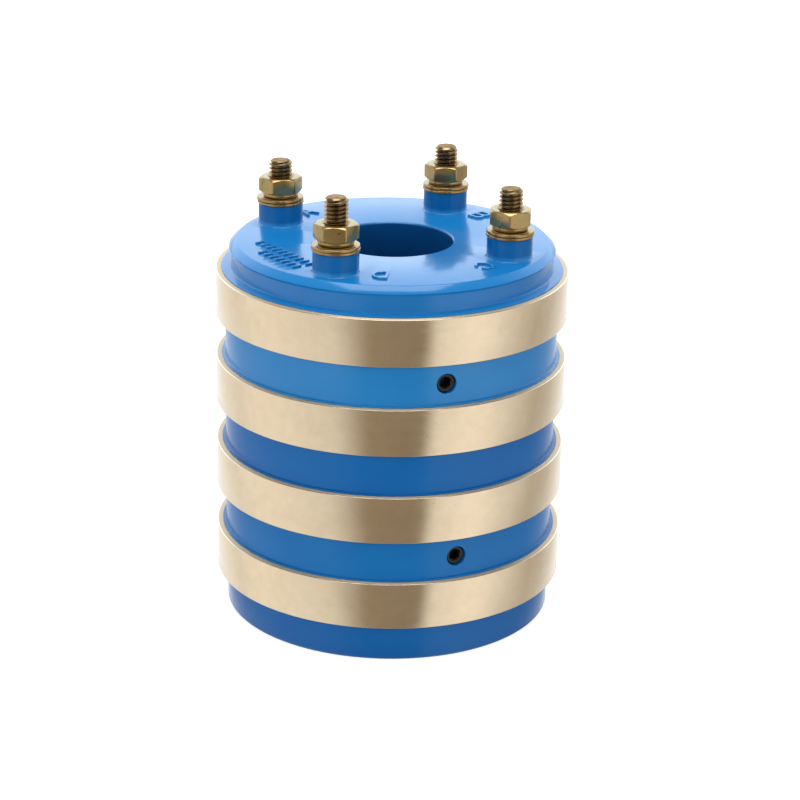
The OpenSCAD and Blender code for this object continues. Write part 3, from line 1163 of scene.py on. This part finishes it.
@dataclass
class SetScrews:
    """The two grub screws that grip the shaft."""

    stack: Stack
    radius: float = 2.5
    tip: float = 15.4
    head: float = 40.9
    socket_af: float = 2.5
    socket_depth: float = 3.0
    chamfer: float = 0.4
    mouth: Span = (-0.15, 0.35)

    def screw(self) -> Shape:
        """Screw along Z with its socket at the far end."""
        r, c = self.radius, self.chamfer
        outline = [
            (0.0, self.tip), (r - c, self.tip), (r, self.tip + c), (r, self.head - c),
            (r - c, self.head), (0.0, self.head),
        ]
        shape = Shape.turned(outline, 64)
        corner = hexagon_corner(self.socket_af)
        socket = Shape.prism(6, corner, self.head - self.socket_depth, self.head + 1)
        near, far = self.mouth
        low, high = self.head - far, self.head - near
        cone = [(0.0, low), (corner + near, low), (corner + far, high), (0.0, high)]
        return shape.combined([socket, Shape.turned(cone, 48)], Combine.CUT)

    def build(self, finish: Material) -> None:
        """Makes both screws."""
        for name, groove, angle in SCREWS:
            screw = self.screw().moved(self.stack.radial(groove, angle))
            screw.publish(f"{name}_grub_screw", finish, "black_oxide", [f"{name}_set_screw"])


# ---- Studio ----


@dataclass(frozen=True)
class Studio:
    """Floor, light and camera."""

    sensor: float = 36.0
    lens: float = 113.72
    elevation: float = 20.02
    distance: float = 0.6433
    roll: float = 1.022
    aim: Point = (0.00253, 0.0, 0.05318)
    tent: tuple[tuple[float, float], ...] = (
        (-180, 1.15), (-150, 1.0), (-118, 0.82), (-104, 0.92), (-88, 0.95), (-60, 0.86),
        (-36, 0.76), (-14, 0.31), (22, 0.27), (30, 0.84), (52, 1.0), (64, 0.98),
        (88, 0.70), (108, 0.50), (124, 0.57), (152, 0.95), (180, 1.15),
    )
    dark_tint: Colour = (1.0, 0.86, 0.68)
    far_tint: Colour = (0.96, 1.03, 1.15)
    overhead: Colour = (0.38, 0.38, 0.38)
    backlight: Colour = (1.52, 1.74, 2.0)
    floor_glow: float = 0.75
    lamp_size: Span = (0.7, 0.6)
    lamp_aim: Point = (0.0, 0.0, 0.06)
    lamps: tuple[tuple[str, float, Point, bool], ...] = (
        ("softbox", 5.2, (0.0, -0.08, 0.95), True),
        ("fill_left", 3.0, (-0.62, -0.62, 0.22), False),
        ("fill_right", 2.3, (0.62, -0.62, 0.22), False),
    )

    def camera(self) -> None:
        """Makes the camera."""
        data = bpy.data.cameras.new("camera")
        data.lens = self.lens
        data.sensor_width = self.sensor
        data.clip_start, data.clip_end = 0.01, 50.0
        item = add_object("camera", data)
        tilt = math.radians(self.elevation)
        ahead = Vector((0, math.cos(tilt), -math.sin(tilt)))
        level = ahead.to_track_quat("-Z", "Y").to_matrix().to_4x4()
        item.matrix_world = level @ about_z(self.roll)
        item.location = Vector(self.aim) - ahead * self.distance
        bpy.context.scene.camera = item

    def floor(self, groups: EffectGroups) -> None:
        """Makes the plain pale floor."""
        shape = Shape()
        bmesh.ops.create_grid(shape.bm, x_segments=1, y_segments=1, size=6.0)
        item = shape.to_object("floor")
        finish = Finish("pale_floor", groups)
        finish.feed("Base Color", (0.62, 0.62, 0.62, 1.0))
        finish.feed("Roughness", 0.9)
        finish.feed("Specular IOR Level", 0.1)
        seen = finish.put("ShaderNodeLightPath").outputs["Is Camera Ray"]
        finish.feed("Emission Color", (1.0, 1.0, 1.0, 1.0))
        finish.feed("Emission Strength", finish.times(seen, self.floor_glow))
        item.data.materials.append(finish.material)
        item.visible_glossy = False

    def tent_stops(self) -> list[tuple[float, list[float]]]:
        """Colours of the tent round the horizon: warm where dark, cold at the back."""
        stops = []
        for angle, level in self.tent:
            dim = max(0.0, min(1.0, (0.6 - level) / 0.3))
            far = max(0.0, (abs(angle) - 130) / 50)
            tints = zip(self.dark_tint, self.far_tint)
            colour = [level * (1 + dim * (d - 1) + far * (f - 1)) for d, f in tints]
            stops.append(((angle + 180) / 360, colour))
        return stops

    def light(self) -> None:
        """Makes the light tent that the metal mirrors, and the lamps."""
        world = bpy.data.worlds.new("light_tent")
        bpy.context.scene.world = world
        world.use_nodes = True
        wiring = Wiring(world.node_tree)
        way = wiring.put("ShaderNodeTexCoord").outputs["Generated"]
        x, y, z = wiring.put("ShaderNodeSeparateXYZ", {0: way}).outputs
        azimuth = wiring.calc("ARCTAN2", x, wiring.times(y, -1.0))
        around = wiring.ramp(wiring.span(azimuth, -math.pi, math.pi), self.tent_stops())
        domed = wiring.mix(wiring.span(z, 0.10, 0.45), around, self.overhead)
        behind = wiring.span(y, 0.0, 0.6)
        above = wiring.span(z, 0.02, 0.12)
        below = wiring.span(z, 0.5, 0.8, 1.0, 0.0)
        bright = wiring.times(wiring.times(above, below), behind)
        sky = wiring.mix(bright, domed, self.backlight)
        seen = wiring.put("ShaderNodeLightPath").outputs["Is Camera Ray"]
        colour = wiring.mix(seen, sky, (1.0, 1.0, 1.0))
        surface = wiring.put("ShaderNodeBackground", {"Color": colour, "Strength": 1.0})
        wiring.put("ShaderNodeOutputWorld", {"Surface": surface.outputs[0]})

        for name, energy, place, mirrored in self.lamps:
            data = bpy.data.lights.new(name, "AREA")
            data.shape = "RECTANGLE"
            data.size, data.size_y = self.lamp_size
            data.energy = energy
            item = add_object(name, data)
            item.location = place
            item.visible_glossy = mirrored
            aim = Vector(self.lamp_aim) - item.location
            item.rotation_mode = "QUATERNION"
            item.rotation_quaternion = aim.to_track_quat("-Z", "Y")

    def build(self, groups: EffectGroups) -> None:
        """Makes all of it and sets how colours are shown."""
        self.camera()
        self.floor(groups)
        self.light()
        bpy.context.scene.view_settings.view_transform = "Standard"


def main() -> None:
    """Builds the dressed rotor round its frame."""
    logging.basicConfig(level=logging.INFO, format="%(name)s: %(message)s")
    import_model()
    groups = EffectGroups()
    stack = Stack()
    Studio().build(groups)
    MouldedBody(stack).build(GlossyMoulding().make(groups))
    CollectorRings(stack).build(TurnedBrass().make(groups))
    plate = YellowZinc().make(groups)
    stamped = YellowZinc("stamped_yellow_zinc", warmth=0.4, roughness=0.18).make(groups)
    thread = BronzeThread().make(groups)
    for terminal in TERMINALS:
        TerminalHardware(stack, terminal).build(plate, stamped, thread)
    SetScrews(stack).build(BlackOxide().make(groups))


if __name__ == "__main__":
    main()
